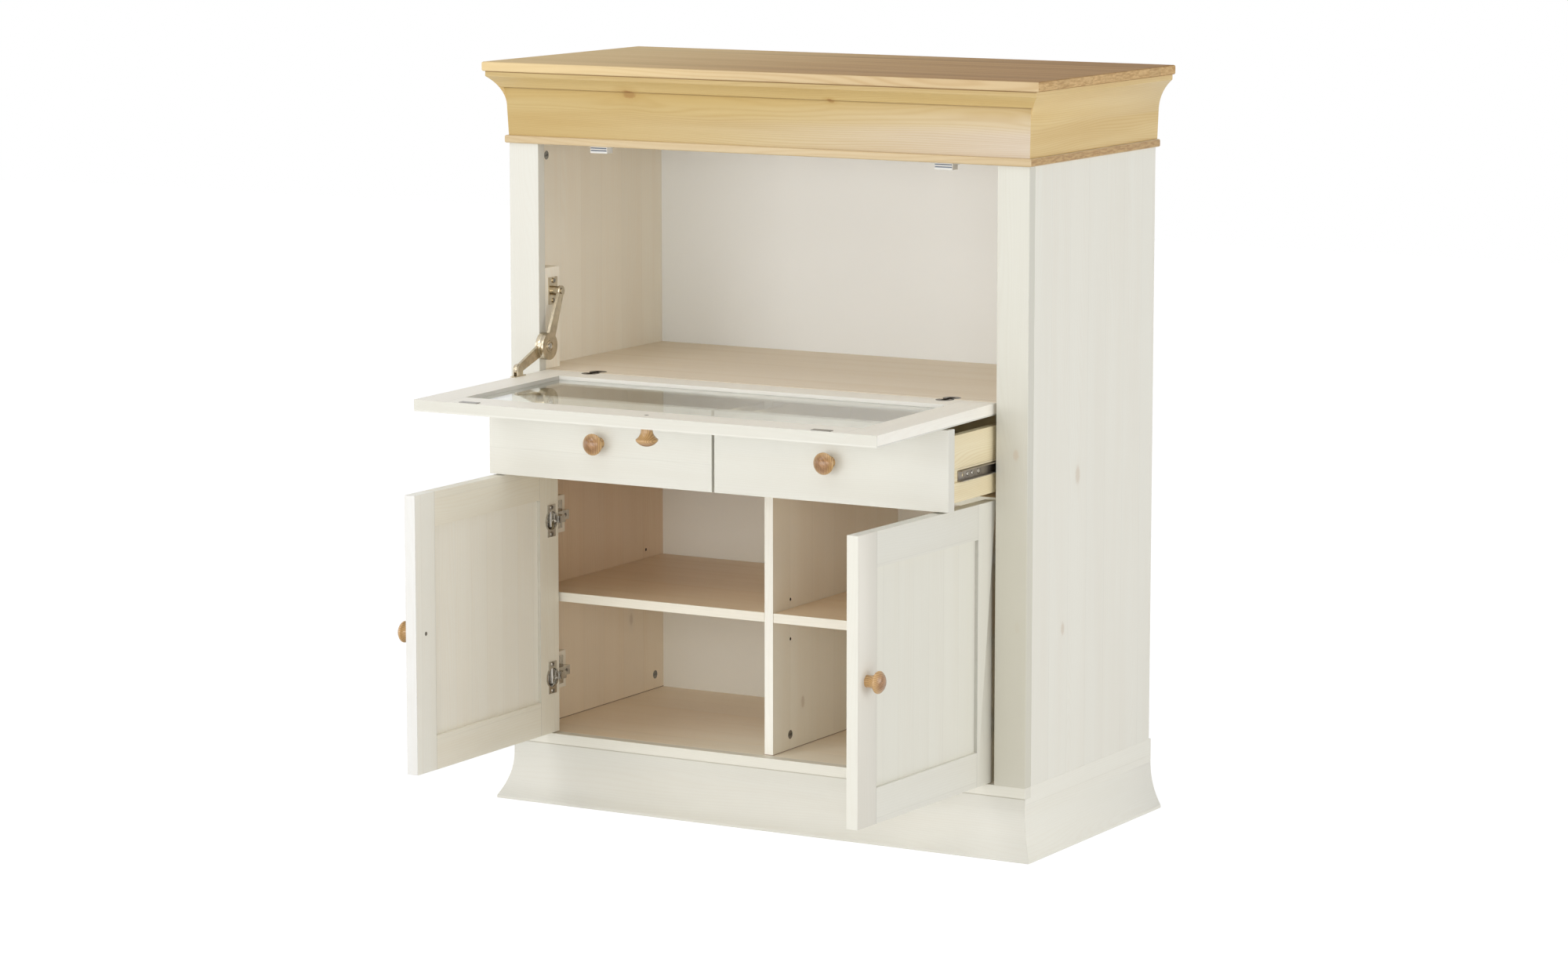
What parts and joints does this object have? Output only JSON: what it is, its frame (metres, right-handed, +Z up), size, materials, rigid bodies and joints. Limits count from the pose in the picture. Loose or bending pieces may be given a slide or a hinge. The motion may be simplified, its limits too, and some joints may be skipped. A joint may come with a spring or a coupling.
{
  "type": "bar cabinet",
  "caption": "Free-standing bar cabinet with a glazed fall-front flap on a stay, two drawers, two panelled doors, shelves, flared plinth and a crown moulding.",
  "frame": {"origin": "on the floor, in the middle of the body's width and depth, on the underside of the plinth's centre batten", "axes": "+Z up from the floor, +Y from the front to the back, +X to the right as seen from the front; the stiles' front face is at Y -0.23"},
  "size_m": [1.046, 0.885, 1.26],
  "materials": {
    "white": "satin wax over pine",
    "pine": "satin varnish",
    "oiled_pine": "satin oil",
    "drawer_pine": "matt, bare",
    "back_board": "satin",
    "knob_wood": "semi-gloss lacquer",
    "glass": "polished",
    "nickel": "nickel-plated, satin",
    "zinc": "zinc, matt",
    "slide_steel": "dark zinc plating",
    "catch_plastic": "white"
  },
  "bodies": {
    "carcass": {"side_panel_left": "white", "side_panel_right": "white", "face_stile_left": "white", "face_stile_right": "white", "bottom_panel": "white", "lower_front_rail": "white", "centre_divider": "white", "shelf_left": "white", "shelf_right": "white", "shelf_pins": "zinc", "connector_housings": "zinc", "drawer_deck": "white", "drawer_partition": "white", "worktop": "white", "back_panel": "back_board", "crown_base_board": "pine", "crown_front": "pine", "crown_left": "pine", "crown_right": "pine", "crown_inner_blocks": "pine", "top_board": "oiled_pine", "plinth_front": "white", "plinth_left": "white", "plinth_right": "white", "plinth_inner_rails": "pine", "mounting_blocks": "white", "runner_blocks": "pine", "drawer_runners": "slide_steel", "magnetic_catches": "catch_plastic", "door_hinge_arms": "nickel", "worktop_hinge_cups": "nickel", "stay_wall_bracket": "nickel"},
    "flap": {"flap_frame": "white", "flap_glass": "glass", "flap_knob": "knob_wood", "flap_hinge_cups": "nickel", "flap_strike_plates": "zinc", "stay_flap_bracket": "nickel"},
    "stay_upper": {"stay_upper_arm": "nickel"},
    "stay_lower": {"stay_lower_arm": "nickel"},
    "door_left": {"door_left_frame": "white", "door_left_panel": "white", "door_left_knob": "knob_wood", "door_left_hinge_cups": "nickel"},
    "door_right": {"door_right_frame": "white", "door_right_panel": "white", "door_right_knob": "knob_wood", "door_right_hinge_cups": "nickel"},
    "drawer_left": {"drawer_left_front": "white", "drawer_left_box": "drawer_pine", "drawer_left_bottom": "drawer_pine", "drawer_left_slides": "slide_steel", "drawer_left_knob": "knob_wood"},
    "drawer_right": {"drawer_right_front": "white", "drawer_right_box": "drawer_pine", "drawer_right_bottom": "drawer_pine", "drawer_right_slides": "slide_steel", "drawer_right_knob": "knob_wood"}
  },
  "joints": [
    {"name": "flap_hinge", "type": "hinge", "parent": "carcass", "child": "flap", "pos_m": [0, -0.22335, 0.73015], "axis": [-1, 0, 0], "range_deg": [0, 90.75]},
    {"name": "stay_wall_pivot", "type": "hinge", "parent": "carcass", "child": "stay_upper", "pos_m": [-0.4175, -0.188, 0.872], "axis": [1, 0, 0], "range_deg": [0, 73.3]},
    {"name": "stay_flap_pivot", "type": "hinge", "parent": "flap", "child": "stay_lower", "pos_m": [-0.4254, -0.30979, 0.75137], "axis": [1, 0, 0], "range_deg": [0, 65.6]},
    {"name": "door_left_hinge", "type": "hinge", "parent": "carcass", "child": "door_left", "pos_m": [-0.423, -0.2255, 0.35175], "axis": [0, 0, 1], "range_deg": [-20, 90]},
    {"name": "door_right_hinge", "type": "hinge", "parent": "carcass", "child": "door_right", "pos_m": [0.423, -0.2255, 0.35175], "axis": [0, 0, -1], "range_deg": [-22, 88]},
    {"name": "drawer_left_slide", "type": "slide", "parent": "carcass", "child": "drawer_left", "axis": [0, -1, 0], "range_m": [-0.158, 0.122]},
    {"name": "drawer_right_slide", "type": "slide", "parent": "carcass", "child": "drawer_right", "axis": [0, -1, 0], "range_m": [-0.158, 0.122]}
  ],
  "couplings": [
    {"joint": "stay_wall_pivot", "follows": "flap_hinge", "ratio": 0.80718},
    {"joint": "stay_flap_pivot", "follows": "flap_hinge", "ratio": 0.72198}
  ]
}
